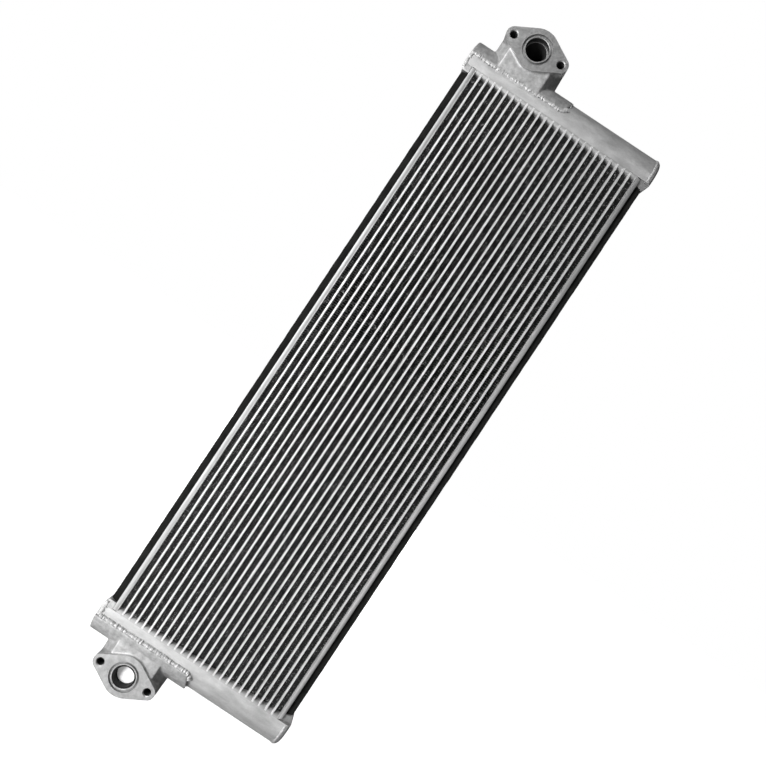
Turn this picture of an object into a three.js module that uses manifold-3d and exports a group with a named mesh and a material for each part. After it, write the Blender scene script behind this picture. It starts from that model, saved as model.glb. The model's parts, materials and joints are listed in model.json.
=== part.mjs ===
// Hydraulic oil cooler: a brazed bar-and-plate aluminium core between two D-section tanks.
// Oil enters one tank through a two-bolt port block, runs through the flat tubes and leaves
// through the other block. Air passes front to back through the foil between the tubes.
// Millimetres. X is across the core, -Y is the air-side front, +Z is up along the tubes.
import * as THREE from "three";
import { mergeVertices } from "three/addons/utils/BufferGeometryUtils.js";
import Module from "manifold-3d";

const CLEARANCE = 0.3; // gap left between neighbouring pieces
const OVERLAP = 1; // how far shapes that are joined into one piece run into each other

// Depth, with the port faces standing proud of the core's front. The origin is at mid depth.
const CORE_DEPTH = 80;
const PORT_FACE_PROUD = 4;
const FRONT_Y = -CORE_DEPTH / 2;
const BACK_Y = CORE_DEPTH / 2;
const FACE_Y = FRONT_Y - PORT_FACE_PROUD;

// Core
const TUBE_COUNT = 24;
const TUBE_PITCH = 10.48;
const TUBE_WIDTH = 2.9;
const TUBE_WALL = 0.6;
const TUBE_EDGE_BAR = 5.5; // solid bar that closes a tube's front and back edge
const CORE_TOP = 438.9; // where the tubes end and the tank begins
const CLOSURE_HEIGHT = 7.4; // bar that closes an air row at each end
const PLATE_INNER_X = 129.4;
const PLATE_WIDTH = 7.2;
const SEAL_WIDTH = 9.5;
const SEAL_HALF_LENGTH = 429;
const SEAL_SETBACK = 2; // from the core's front and back

// Coarse stand-in for the corrugated foil, with the real foil's weight
const FOIL_FOLDS = 20;
const FOIL_RISE = 6.8;
const FOIL_THICKNESS = 0.8;

// Tanks
const TANK_RADIUS = 40;
const TANK_SKIRT = 8; // straight wall between the core and the round part
const TANK_WALL = 5;
const TANK_HALF_LENGTH = 146;
const END_PLATE = 5.7;
const FOOT_TAPER = 4;
const FOOT_OVERLAP = 3; // of an end wall's foot into the wall
const TANK_AXIS_Z = CORE_TOP + TANK_SKIRT;
const WALL_X = TANK_HALF_LENGTH + CLEARANCE; // inner face of the end walls
const END_X = WALL_X + END_PLATE;

// Port blocks
const UPPER_PORT_X = -76;
const LOWER_PORT_X = -72.7;
const PORT_Z = 504;
const FLANGE_THICKNESS = 20;
const FLANGE_HUB_RADIUS = 29;
const FLANGE_LOBE_RADIUS = 11;
const BOLT_OFFSET = 37.5;
const BOLT_HOLE_RADIUS = 5.1;
const BOLT_CHAMFER_RADIUS = 6.3;
const BOLT_HOLE_DEPTH = 21;
const BORE_RADIUS = 16;
const BORE_STEP_DEPTH = 10;
const PASSAGE_RADIUS = 15;
const GROOVE_INNER_RADIUS = 18;
const GROOVE_OUTER_RADIUS = 21;
const GROOVE_DEPTH = 2.7;
const NECK_HALF_WIDTH = 32.5;
const NECK_SETBACK = 3.5; // behind the flange face
const BLOCK_HALF_WIDTH = 48.4; // the neck widens to this at the flange's back
const BLOCK_BACK_Y = 26;
const BLOCK_INSET = 1.5; // of the block's outline inside the flange's

// Saddle: the block's foot, wrapped round the tank and welded to it. The upper one is nearly flush.
const UPPER_SADDLE_THICKNESS = 1.4;
const LOWER_SADDLE_THICKNESS = 4.5;
const SADDLE_FOOT = 8.43; // height of its front and back edge above the tank's axis
const SADDLE_RIGHT_X = 3.7;
const SADDLE_CORNER = 12;

// Transport plug in the lower port
const PLUG_RADIUS = 15.7;
const PLUG_TAIL_RADIUS = 14.6;
const PLUG_RECESS_RADIUS = 13.6;
const PLUG_FRONT_SETBACK = 1;
const PLUG_RECESS_DEPTH = 9;
const PLUG_LENGTH = 23;

const ROUND_SEGMENTS = 28; // sides of a full hole
const ARC_SEGMENTS = 9; // sides of each round stretch of an outline

const X = new THREE.Vector3(1, 0, 0);
const Y = new THREE.Vector3(0, 1, 0);
const Z = new THREE.Vector3(0, 0, 1);

const material = (name, color, roughness, metalness) =>
  new THREE.MeshStandardMaterial({ name, color, roughness, metalness });
const TUBE_ALUMINIUM = material("tube_aluminium", 0xe2e3e4, 0.35, 0.9);
const FIN_ALUMINIUM = material("fin_aluminium", 0x5f6063, 0.6, 0.8);
const PLATE_ALUMINIUM = material("plate_aluminium", 0xc6c7c9, 0.45, 0.9);
const TANK_ALUMINIUM = material("tank_aluminium", 0xb9babb, 0.6, 0.7);
const CAST_ALUMINIUM = material("cast_aluminium", 0xb4b4b2, 0.6, 0.7);
const BLACK_FOAM = material("black_foam", 0x141414, 0.95, 0);
const WHITE_PLASTIC = material("plug_plastic", 0xf4f4f2, 0.5, 0);

const wasm = await Module();
wasm.setup();

function toSolid(geometry) {
  const bare = geometry.clone();
  bare.deleteAttribute("normal");
  bare.deleteAttribute("uv");
  const merged = mergeVertices(bare, 1e-3);
  return new wasm.Manifold(
    new wasm.Mesh({
      numProp: 3,
      vertProperties: merged.attributes.position.array,
      triVerts: new Uint32Array(merged.index.array),
    }),
  );
}

function toGeometry(solid) {
  const mesh = solid.getMesh();
  const geometry = new THREE.BufferGeometry();
  geometry.setAttribute("position", new THREE.BufferAttribute(mesh.vertProperties, 3));
  geometry.setIndex(new THREE.BufferAttribute(mesh.triVerts, 1));
  geometry.computeVertexNormals();
  return geometry;
}

function join(geometries) {
  return toGeometry(geometries.map(toSolid).reduce((sum, next) => sum.add(next)));
}

function cut(geometry, tools) {
  return toGeometry(tools.map(toSolid).reduce((rest, tool) => rest.subtract(tool), toSolid(geometry)));
}

function common(geometry, other) {
  return toGeometry(toSolid(geometry).intersect(toSolid(other)));
}

function box(low, high) {
  const geometry = new THREE.BoxGeometry(high[0] - low[0], high[1] - low[1], high[2] - low[2]);
  return geometry.translate((low[0] + high[0]) / 2, (low[1] + high[1]) / 2, (low[2] + high[2]) / 2);
}

function extrude(shape, length) {
  return new THREE.ExtrudeGeometry(shape, { depth: length, bevelEnabled: false, curveSegments: ARC_SEGMENTS });
}

// An outline drawn in Y and Z, run along X
function extrudeX(shape, fromX, toX) {
  const upright = new THREE.Matrix4().makeBasis(Y, Z, X);
  return extrude(shape, toX - fromX).applyMatrix4(upright).translate(fromX, 0, 0);
}

// An outline drawn in X and Z, run along Y
function extrudeY(shape, fromY, toY) {
  const upright = new THREE.Matrix4().makeBasis(X, Z, Y.clone().negate());
  return extrude(shape, toY - fromY).applyMatrix4(upright).translate(0, toY, 0);
}

// An outline drawn in X and Y, run along Z
function extrudeZ(shape, fromZ, toZ) {
  return extrude(shape, toZ - fromZ).translate(0, 0, fromZ);
}

// A solid turned round an axis along Y through (x, z). Each profile point is [radius, y].
function turnedY(profile, x, z) {
  const points = profile.map(([radius, y]) => new THREE.Vector2(radius, y));
  return new THREE.LatheGeometry(points, ROUND_SEGMENTS).translate(x, 0, z);
}

// Oil's way up from the tank to the port's bore
function portPassage(portX) {
  const length = PORT_Z - TANK_AXIS_Z;
  const geometry = new THREE.CylinderGeometry(PASSAGE_RADIUS, PASSAGE_RADIUS, length, ROUND_SEGMENTS);
  return geometry.rotateX(Math.PI / 2).translate(portX, 0, TANK_AXIS_Z + length / 2);
}

function rectangle(x0, y0, x1, y1) {
  const points = [[x0, y0], [x1, y0], [x1, y1], [x0, y1]];
  return points.map(([x, y]) => new THREE.Vector2(x, y));
}

// Flat tube: two parting sheets with a bar along the front and back edge, open at both ends
function oilTube(x) {
  const half = TUBE_WIDTH / 2;
  const shape = new THREE.Shape(rectangle(x - half, FRONT_Y, x + half, BACK_Y));
  const inner = half - TUBE_WALL;
  shape.holes.push(
    new THREE.Path(rectangle(x - inner, FRONT_Y + TUBE_EDGE_BAR, x + inner, BACK_Y - TUBE_EDGE_BAR)),
  );
  const top = CORE_TOP - CLEARANCE;
  return extrudeZ(shape, -top, top);
}

// Folded foil of one air row, zigzagging between two tubes
function airFin(x) {
  const top = CORE_TOP - CLOSURE_HEIGHT - CLEARANCE;
  const step = (2 * top) / FOIL_FOLDS;
  const reach = (FOIL_RISE - FOIL_THICKNESS) / 2;
  const edge = (offset) =>
    Array.from({ length: FOIL_FOLDS + 1 }, (_, i) => {
      const side = i % 2 ? reach : -reach;
      return new THREE.Vector2(x + side + offset, -top + i * step);
    });
  const outline = [...edge(FOIL_THICKNESS / 2), ...edge(-FOIL_THICKNESS / 2).reverse()];
  return extrudeY(new THREE.Shape(outline), FRONT_Y + CLEARANCE, BACK_Y - CLEARANCE);
}

function sidePlate(side) {
  const inner = side * PLATE_INNER_X;
  const outer = side * (PLATE_INNER_X + PLATE_WIDTH);
  const top = CORE_TOP - CLEARANCE;
  return box([Math.min(inner, outer), FRONT_Y, -top], [Math.max(inner, outer), BACK_Y, top]);
}

function sideSeal(side) {
  const inner = side * (PLATE_INNER_X + PLATE_WIDTH + CLEARANCE);
  const outer = inner + side * SEAL_WIDTH;
  return box(
    [Math.min(inner, outer), FRONT_Y + SEAL_SETBACK, -SEAL_HALF_LENGTH],
    [Math.max(inner, outer), BACK_Y - SEAL_SETBACK, SEAL_HALF_LENGTH],
  );
}

// The tank's D outline in Y and Z, drawn inset from its outer face, for the upper tank
function dOutline(inset) {
  const shape = new THREE.Shape();
  const radius = TANK_RADIUS - inset;
  shape.moveTo(radius, CORE_TOP);
  shape.lineTo(radius, TANK_AXIS_Z);
  shape.absarc(0, TANK_AXIS_Z, radius, 0, Math.PI, false);
  shape.lineTo(-radius, CORE_TOP);
  return shape;
}

// Half-round shell with a comb of bars that closes the air rows and holds the tube ends
function upperTank(portX) {
  const shell = cut(extrudeX(dOutline(0), -TANK_HALF_LENGTH, TANK_HALF_LENGTH), [
    extrudeX(dOutline(TANK_WALL), -TANK_HALF_LENGTH - OVERLAP, TANK_HALF_LENGTH + OVERLAP)
      .translate(0, 0, -CLEARANCE),
  ]);
  const barHalf = (TUBE_PITCH - TUBE_WIDTH) / 2 - CLEARANCE;
  const bars = Array.from({ length: TUBE_COUNT + 1 }, (_, i) => {
    const x = (i - TUBE_COUNT / 2) * TUBE_PITCH;
    return box(
      [x - barHalf, FRONT_Y, CORE_TOP - CLOSURE_HEIGHT],
      [x + barHalf, BACK_Y, CORE_TOP + OVERLAP],
    );
  });
  const lands = [-1, 1].map((side) => {
    const ends = [side * PLATE_INNER_X, side * TANK_HALF_LENGTH];
    return box(
      [Math.min(...ends), FRONT_Y + OVERLAP, CORE_TOP],
      [Math.max(...ends), BACK_Y - OVERLAP, CORE_TOP + TANK_WALL],
    );
  });
  return cut(join([shell, ...bars, ...lands]), [portPassage(portX)]);
}

// Foot of an end wall: it reaches in under the tank to the side plate and tapers down to the seal.
// side is 1 at the right end and -1 at the left.
function endFoot(side) {
  const inner = PLATE_INNER_X + PLATE_WIDTH + CLEARANCE;
  const bottom = SEAL_HALF_LENGTH + CLEARANCE;
  const top = CORE_TOP - CLEARANCE;
  const corners = [
    [inner, bottom],
    [END_X - FOOT_TAPER, bottom],
    [END_X, top],
    [END_X, top + FOOT_OVERLAP],
    [WALL_X, top + FOOT_OVERLAP],
    [WALL_X, top],
    [inner, top],
  ];
  const outline = corners.map(([x, z]) => new THREE.Vector2(side * x, z));
  return extrudeY(new THREE.Shape(outline), FRONT_Y, BACK_Y);
}

function upperEndCap() {
  return join([extrudeX(dOutline(0), WALL_X, END_X), endFoot(1)]);
}

// Two-bolt flange outline round (x, z): a round hub with a lobe at each bolt, joined by tangents
function flangeOutline(portX, inset) {
  const hub = FLANGE_HUB_RADIUS - inset;
  const lobe = FLANGE_LOBE_RADIUS - inset;
  const tangent = Math.acos((hub - lobe) / BOLT_OFFSET);
  const shape = new THREE.Shape();
  shape.absarc(portX + BOLT_OFFSET, PORT_Z, lobe, -tangent, tangent, false);
  shape.absarc(portX, PORT_Z, hub, tangent, Math.PI - tangent, false);
  shape.absarc(portX - BOLT_OFFSET, PORT_Z, lobe, Math.PI - tangent, Math.PI + tangent, false);
  shape.absarc(portX, PORT_Z, hub, Math.PI + tangent, 2 * Math.PI - tangent, false);
  return shape;
}

// Foot that wraps the tank's round side, front and back. The corners at its right end are rounded.
function saddle(thickness) {
  const inner = TANK_RADIUS + CLEARANCE;
  const outer = inner + thickness;
  const start = Math.asin(SADDLE_FOOT / outer);
  const section = new THREE.Shape();
  section.absarc(0, TANK_AXIS_Z, outer, start, Math.PI - start, false);
  section.absarc(0, TANK_AXIS_Z, inner, Math.PI - start, start, true);
  const corner = SADDLE_RIGHT_X - SADDLE_CORNER;
  const plan = new THREE.Shape();
  plan.moveTo(-END_X, outer);
  plan.lineTo(-END_X, -outer);
  plan.absarc(corner, SADDLE_CORNER - outer, SADDLE_CORNER, -Math.PI / 2, 0, false);
  plan.absarc(corner, outer - SADDLE_CORNER, SADDLE_CORNER, 0, Math.PI / 2, false);
  return common(extrudeX(section, -END_X, SADDLE_RIGHT_X), extrudeZ(plan, TANK_AXIS_Z, PORT_Z));
}

// Flange, neck, block and saddle in one casting, with the tank's left end wall
function upperPortBlock(portX, saddleThickness) {
  const flange = extrudeY(flangeOutline(portX, 0), FACE_Y, FACE_Y + FLANGE_THICKNESS);
  const hubOutline = flangeOutline(portX, BLOCK_INSET);
  const hub = extrudeY(hubOutline, FACE_Y + FLANGE_THICKNESS - OVERLAP, BLOCK_BACK_Y);
  const tankSpace = extrudeX(dOutline(-CLEARANCE), -TANK_HALF_LENGTH - CLEARANCE, TANK_HALF_LENGTH);
  const outside = cut(join([flange, hub, neckBlock(portX)]), [tankSpace]);
  const endWall = extrudeX(dOutline(-CLEARANCE - OVERLAP), -END_X, -WALL_X);
  const whole = join([outside, saddle(saddleThickness), endWall, endFoot(-1)]);
  return cut(whole, [portBore(portX), oringGroove(portX), ...boltHoles(portX), portPassage(portX)]);
}

// Neck with sloping cheeks, narrow at the front and as wide as the flange at its back
function neckBlock(portX) {
  const front = FACE_Y + NECK_SETBACK;
  const cheek = FACE_Y + FLANGE_THICKNESS;
  const plan = new THREE.Shape();
  plan.moveTo(portX - NECK_HALF_WIDTH, front);
  plan.lineTo(portX + NECK_HALF_WIDTH, front);
  plan.lineTo(portX + BLOCK_HALF_WIDTH, cheek);
  plan.lineTo(portX + BLOCK_HALF_WIDTH, BLOCK_BACK_Y);
  plan.lineTo(portX - BLOCK_HALF_WIDTH, BLOCK_BACK_Y);
  plan.lineTo(portX - BLOCK_HALF_WIDTH, cheek);
  return extrudeZ(plan, TANK_AXIS_Z, PORT_Z);
}

// Stepped bore from the flange face, ending blind behind the passage
function portBore(portX) {
  return turnedY(
    [
      [0, FACE_Y - OVERLAP],
      [BORE_RADIUS, FACE_Y - OVERLAP],
      [BORE_RADIUS, FACE_Y + BORE_STEP_DEPTH],
      [PASSAGE_RADIUS, FACE_Y + BORE_STEP_DEPTH],
      [PASSAGE_RADIUS, PASSAGE_RADIUS],
      [0, PASSAGE_RADIUS],
    ],
    portX,
    PORT_Z,
  );
}

function oringGroove(portX) {
  return turnedY(
    [
      [GROOVE_INNER_RADIUS, FACE_Y - OVERLAP],
      [GROOVE_OUTER_RADIUS, FACE_Y - OVERLAP],
      [GROOVE_OUTER_RADIUS, FACE_Y + GROOVE_DEPTH],
      [GROOVE_INNER_RADIUS, FACE_Y + GROOVE_DEPTH],
      [GROOVE_INNER_RADIUS, FACE_Y - OVERLAP],
    ],
    portX,
    PORT_Z,
  );
}

function boltHoles(portX) {
  const chamfer = BOLT_CHAMFER_RADIUS - BOLT_HOLE_RADIUS;
  const profile = [
    [0, FACE_Y - OVERLAP],
    [BOLT_CHAMFER_RADIUS, FACE_Y - OVERLAP],
    [BOLT_CHAMFER_RADIUS, FACE_Y],
    [BOLT_HOLE_RADIUS, FACE_Y + chamfer],
    [BOLT_HOLE_RADIUS, FACE_Y + BOLT_HOLE_DEPTH],
    [0, FACE_Y + BOLT_HOLE_DEPTH],
  ];
  return [-1, 1].map((side) => turnedY(profile, portX + side * BOLT_OFFSET, PORT_Z));
}

// Push-in plug that seats on the bore's step, with a recessed face to grip
function portPlug() {
  const front = FACE_Y + PLUG_FRONT_SETBACK;
  const shoulder = FACE_Y + BORE_STEP_DEPTH - CLEARANCE;
  return turnedY(
    [
      [0, front + PLUG_RECESS_DEPTH],
      [PLUG_RECESS_RADIUS, front + PLUG_RECESS_DEPTH],
      [PLUG_RECESS_RADIUS, front],
      [PLUG_RADIUS, front],
      [PLUG_RADIUS, shoulder],
      [PLUG_TAIL_RADIUS, shoulder],
      [PLUG_TAIL_RADIUS, front + PLUG_LENGTH],
      [0, front + PLUG_LENGTH],
    ],
    LOWER_PORT_X,
    -PORT_Z,
  );
}

function add(group, name, geometry, look) {
  const mesh = new THREE.Mesh(geometry, look);
  mesh.name = name;
  group.add(mesh);
}

// A tank with its end cap and port block, as the top end of the cooler
function tankEnd(name, portX, saddleThickness) {
  const end = new THREE.Group();
  add(end, `${name}_tank`, upperTank(portX), TANK_ALUMINIUM);
  add(end, `${name}_end_cap`, upperEndCap(), TANK_ALUMINIUM);
  add(end, `${name}_port_block`, upperPortBlock(portX, saddleThickness), CAST_ALUMINIUM);
  return end;
}

const numbered = (name, i) => `${name}_${String(i).padStart(2, "0")}`;

const cooler = new THREE.Group();
for (let i = 1; i <= TUBE_COUNT; i++) {
  const x = (i - (TUBE_COUNT + 1) / 2) * TUBE_PITCH;
  add(cooler, numbered("oil_tube", i), oilTube(x), TUBE_ALUMINIUM);
}
for (let i = 1; i <= TUBE_COUNT + 1; i++) {
  const x = (i - 1 - TUBE_COUNT / 2) * TUBE_PITCH;
  add(cooler, numbered("air_fin", i), airFin(x), FIN_ALUMINIUM);
}
for (const [name, side] of [["left", -1], ["right", 1]]) {
  add(cooler, `${name}_side_plate`, sidePlate(side), PLATE_ALUMINIUM);
  add(cooler, `${name}_side_seal`, sideSeal(side), BLACK_FOAM);
}
const upperEnd = tankEnd("upper", UPPER_PORT_X, UPPER_SADDLE_THICKNESS);
const lowerEnd = tankEnd("lower", LOWER_PORT_X, LOWER_SADDLE_THICKNESS);
lowerEnd.scale.z = -1; // the lower end mirrors the upper one, top to bottom
cooler.add(upperEnd, lowerEnd);
add(cooler, "lower_port_plug", portPlug(), WHITE_PLASTIC);

export default cooler;
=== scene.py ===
"""The looks of a hydraulic oil cooler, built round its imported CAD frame.

Metres. X is across the core, -Y is the air-side front, +Z is up along the tubes. Each end's pieces are
made for the upper end and turned over for the lower one.
"""

import json
import math
import random

import bmesh
import bpy
from mathutils import Matrix, Vector, noise

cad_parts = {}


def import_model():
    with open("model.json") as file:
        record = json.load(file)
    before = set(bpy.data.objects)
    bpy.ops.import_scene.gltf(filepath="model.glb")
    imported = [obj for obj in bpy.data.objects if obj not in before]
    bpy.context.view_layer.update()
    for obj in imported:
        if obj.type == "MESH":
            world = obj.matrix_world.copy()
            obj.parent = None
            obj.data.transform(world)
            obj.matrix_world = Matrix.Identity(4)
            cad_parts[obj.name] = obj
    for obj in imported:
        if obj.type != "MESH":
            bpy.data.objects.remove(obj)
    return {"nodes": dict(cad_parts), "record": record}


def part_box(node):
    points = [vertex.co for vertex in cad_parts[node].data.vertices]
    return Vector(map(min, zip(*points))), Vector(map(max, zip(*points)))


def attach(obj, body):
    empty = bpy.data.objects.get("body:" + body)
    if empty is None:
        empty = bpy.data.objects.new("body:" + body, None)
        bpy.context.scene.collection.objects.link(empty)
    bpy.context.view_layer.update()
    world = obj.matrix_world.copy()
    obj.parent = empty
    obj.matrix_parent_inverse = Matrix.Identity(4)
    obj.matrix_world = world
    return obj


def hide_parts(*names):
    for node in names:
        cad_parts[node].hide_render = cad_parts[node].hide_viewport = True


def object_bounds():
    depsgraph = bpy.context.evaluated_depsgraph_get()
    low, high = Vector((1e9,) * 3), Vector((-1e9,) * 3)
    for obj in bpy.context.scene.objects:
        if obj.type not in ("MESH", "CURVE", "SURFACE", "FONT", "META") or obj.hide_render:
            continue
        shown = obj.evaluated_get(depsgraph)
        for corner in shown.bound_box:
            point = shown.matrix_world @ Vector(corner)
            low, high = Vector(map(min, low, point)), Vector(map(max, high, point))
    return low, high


MM = 0.001
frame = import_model()
CAD_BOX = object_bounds()

# Core, from the frame
FIRST_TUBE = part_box("oil_tube_01")
SECOND_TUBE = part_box("oil_tube_02")
FRONT_Y = FIRST_TUBE[0].y
BACK_Y = FIRST_TUBE[1].y
TUBE_WIDTH = FIRST_TUBE[1].x - FIRST_TUBE[0].x
TUBE_PITCH = SECOND_TUBE[0].x - FIRST_TUBE[0].x
TUBE_TOP = FIRST_TUBE[1].z
FIN_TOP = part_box("air_fin_01")[1].z
TUBE_COUNT = sum(name.startswith("oil_tube") for name in frame["nodes"])
FIN_COUNT = sum(name.startswith("air_fin") for name in frame["nodes"])

# Core, surface detail
SHEET_THICKNESS = 0.6 * MM
SEAM_DEPTH = 0.3 * MM  # groove between a tube's sheet and its bar
TUBE_WANDER = (0.22 * MM, 60 * MM)  # how far a tube strays sideways, over what length
TUBE_PUSH = (0.25 * MM, 40 * MM)  # how far its edge is pushed in, over what length
TUBE_STEPS = 36
FOIL_THICKNESS = 0.3 * MM
FOIL_WAVE = 3.3 * MM
FOIL_FLAT = 0.34  # share of a half wave that lies against the tube
FOIL_CLEARANCE = 0.25 * MM  # from the tube
FOIL_SETBACK = 0.2 * MM  # of its front and back edges from the tube's
FOIL_HERRINGBONE = 3.4 * MM  # how far the foil is bent up at mid depth, so that no light passes straight
FOIL_TURN_BACK = 40  # power of z that keeps the bend upwards until close under the tank, where it turns down
FOLD_JITTER = 0.3 * MM
NICK_DEPTH = 0.45 * MM
NICK_LEAN = 0.25 * MM
SIDE_SHEET = 1.1 * MM
SIDE_PUSH = (0.3 * MM, 70 * MM)  # how far a side bar's face is pushed in, over what length
SIDE_STEPS = 40
FOAM_STEPS = 260
FOAM_DENTS = ((0.25 * MM, 14 * MM), (0.15 * MM, 4 * MM))  # depth and size
FOAM_INSET = 0.2 * MM  # of its outer face
FOAM_EDGE_INSET = 0.3 * MM  # of its front and back
FOAM_END_SLANT = 3 * MM
FOAM_RECESS = {"left": 0, "right": 2.5 * MM}  # how far a strip lies behind its place at the front
SIDE_TOP_SLOPE = {"left": 0.4 * MM, "right": 2.2 * MM}  # how far the side bar's end falls towards the outside

# Tanks, from the frame
TANK_LOW, TANK_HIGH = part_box("upper_tank")
BLOCK_LOW, BLOCK_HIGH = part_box("upper_port_block")
TANK_RADIUS = (TANK_HIGH.y - TANK_LOW.y) / 2
TANK_AXIS_Z = TANK_HIGH.z - TANK_RADIUS
TANK_END_X = TANK_HIGH.x
CAP_OUTER_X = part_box("upper_end_cap")[1].x
SEAL_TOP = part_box("right_side_seal")[1].z
CORE_TOP = TUBE_TOP + 0.3 * MM
TANK_WALL = 5 * MM
CLOSURE_SLOPE_BACK = 10 * MM  # how far a closing bar's front leans back at its foot
WALL_ROUNDING = {  # bulge and inset of the right-hand (1) and the left-hand end wall (-1)
    1: (5.2 * MM, 7 * MM),
    -1: (1 * MM, 1 * MM),
}
LEFT_WALL_SETBACK = {"upper": 2.2 * MM, "lower": 0}
# Foot of each end wall: gap to the side plate, its underside's height above the core, how far its outer edge
# leans back, and its setback from the core's front and back. The left-hand one is run into its neighbours.
END_FOOT = {
    1: (0.1 * MM, -0.1 * MM, 5 * MM, 3 * MM),
    -1: (-0.8 * MM, 2 * MM, 0.3 * MM, 0.2 * MM),
}
FOOT_INSET = 0.6 * MM  # of its outer face from the end wall's
FOOT_TAPER = 4.5 * MM  # inset of its tip

# Port block
PLUG_LOW, PLUG_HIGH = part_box("lower_port_plug")
PORT_Z = -(PLUG_LOW.z + PLUG_HIGH.z) / 2
PORT_X = {}
for opening in frame["record"]["physics"]["openings"]:
    if opening["name"].endswith("port_bore"):
        PORT_X[opening["name"].split("_")[0]] = (opening["box_m"][0][0] + opening["box_m"][1][0]) / 2
FACE_Y = BLOCK_LOW.y
BLOCK_BACK_Y = 26 * MM
HUB_RADIUS = 29 * MM
LOBE_RADIUS = 11 * MM
BOLT_OFFSET = 37.5 * MM
BOLT_RADIUS = 5.1 * MM
BOLT_CHAMFER = 1.2 * MM
BOLT_DEPTH = 21 * MM
BORE_RADIUS = 16 * MM
BORE_STEP = 10 * MM
PASSAGE_RADIUS = 15 * MM
GROOVE_INNER = 18 * MM
GROOVE_OUTER = 21 * MM
GROOVE_DEPTH = 2.7 * MM
FLANGE_THICKNESS = 20 * MM
NECK_HALF_WIDTH = 32.5 * MM
NECK_SETBACK = 3.5 * MM
BLOCK_HALF_WIDTH = 48.4 * MM
SADDLE_THICKNESS = {"upper": 1.4 * MM, "lower": 4.5 * MM}
# Bead along the saddle's foot: rise above the foot, lift off the tank, radius, height as a share of it, lumps
SADDLE_BEAD = {
    "upper": (1.2 * MM, 0.6 * MM, 3.3 * MM, 0.42, 0.27),
    "lower": (0.4 * MM, 0.2 * MM, 4.1 * MM, 0.95, 0.17),
}
WALL_BEAD_RADIUS = {"upper": 1.8 * MM, "lower": 2.8 * MM}
SADDLE_FOOT = 8.43 * MM  # height of its front and back edge above the tank's axis
SADDLE_RIGHT_X = BLOCK_HIGH.x
SADDLE_CORNER = 12 * MM
SADDLE_GAP = 0.1 * MM  # to the tank
CAST_VOXEL = 1.0 * MM
MACHINING_STOCK = 1 * MM  # cast metal that the cutter takes off the port face
CUTTER_REACH = 5 * MM  # how far a cutter starts in front of the port face
MARGIN = 0.1 * MM  # when a spot is matched to a surface
# The last two finishes are painted shade: a near-black colour inside the bore, passage and bolt holes, and a
# darker colour in the seal groove.
AS_CAST, MACHINED, PAINTED_HOLE_SHADE, PAINTED_GROOVE_SHADE = range(4)  # a casting's finishes, in the order of its materials

# Weld beads
RIPPLE_LENGTH = 1.8 * MM
RIPPLE_SIZES = (0.9, 1.0, 0.96)  # of the rings of one ripple
BEAD_SIDES = 12
BEAD_END = 0.35  # share of a bead's size that is left at its ends
BEAD_GRAIN = 1.6 * MM
ARCH_CLEARANCE = 0.35  # radians between the saddle's long beads and the one round its end

# Transport plug
PLUG_INNER = 13.6 * MM
PLUG_TAIL = 14.6 * MM
PLUG_SHOULDER = 8.7 * MM  # from the plug's front
PLUG_RECESS = 9 * MM
PLUG_DIMPLE = (0.55, 0.62)  # radii of the dimple's bottom and rim, as shares of the core's

# Viewpoint
CAMERA_ROLL = math.radians(33.6)
CAMERA_PLACE = (-0.0013, -0.84, 0.017)
CAMERA_LENS = 27.9
CAMERA_SENSOR = 36
AMBIENT = 0.02  # the backdrop's strength as a light


# ---------------------------------------------------------------- mesh helpers

def make_piece(name, points, faces):
    """A new object of that mesh, with its faces turned outwards."""
    mesh = bpy.data.meshes.new(name)
    mesh.from_pydata([tuple(p) for p in points], [], faces)
    mesh.validate()
    piece = bpy.data.objects.new(name, mesh)
    bpy.context.scene.collection.objects.link(piece)
    face_outwards(mesh)
    return piece


def face_outwards(mesh):
    editable = bmesh.new()
    editable.from_mesh(mesh)
    bmesh.ops.recalc_face_normals(editable, faces=editable.faces)
    editable.to_mesh(mesh)
    editable.free()


def loft(name, rings, closed=False):
    """Skin over rings of equal length, closed round on itself or capped at its two ends."""
    count = len(rings[0])
    points = [p for ring in rings for p in ring]
    pairs = [(r, r + 1) for r in range(len(rings) - 1)]
    if closed:
        pairs.append((len(rings) - 1, 0))
    faces = []
    for r, s in pairs:
        for i in range(count):
            j = (i + 1) % count
            faces.append((r * count + i, r * count + j, s * count + j, s * count + i))
    if not closed:
        last = (len(rings) - 1) * count
        faces.append(tuple(range(count)))
        faces.append(tuple(range(last, last + count)))
    return make_piece(name, points, faces)


def along_x(outline, x):
    """An outline in Y and Z, placed at x."""
    return [Vector((x, y, z)) for y, z in outline]


def along_y(outline, y):
    """An outline in X and Z, placed at y."""
    return [Vector((x, y, z)) for x, z in outline]


def along_z(outline, z):
    """An outline in X and Y, placed at z."""
    return [Vector((x, y, z)) for x, y in outline]


def arc(centre, radius, start, end, steps):
    """Points of a circle's arc, from one angle to another."""
    angles = [start + (end - start) * i / steps for i in range(steps + 1)]
    return [(centre[0] + radius * math.cos(a), centre[1] + radius * math.sin(a)) for a in angles]


def quarter_turn(steps=8):
    """Angles from nought to a right angle."""
    return [math.pi / 2 * i / steps for i in range(steps + 1)]


def turned(name, profile, x, closed=False, steps=96):
    """A solid turned round an axis along Y, at x and the port's height. Each profile point is (radius, y)."""
    rings = []
    for radius, y in profile:
        rings.append(along_y(arc((x, PORT_Z), radius, 0, 2 * math.pi, steps)[:-1], y))
    return loft(name, rings, closed)


def apply_modifiers(piece):
    graph = bpy.context.evaluated_depsgraph_get()
    mesh = bpy.data.meshes.new_from_object(piece.evaluated_get(graph))
    piece.modifiers.clear()
    piece.data = mesh
    return piece


def combine(piece, others, operation):
    """Joins the others to the piece, or cuts them from it, and removes them."""
    for other in others:
        modifier = piece.modifiers.new("combine", "BOOLEAN")
        modifier.operation = operation
        modifier.solver = "MANIFOLD"
        modifier.object = other
        apply_modifiers(piece)
        bpy.data.objects.remove(other)
    return piece


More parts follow.
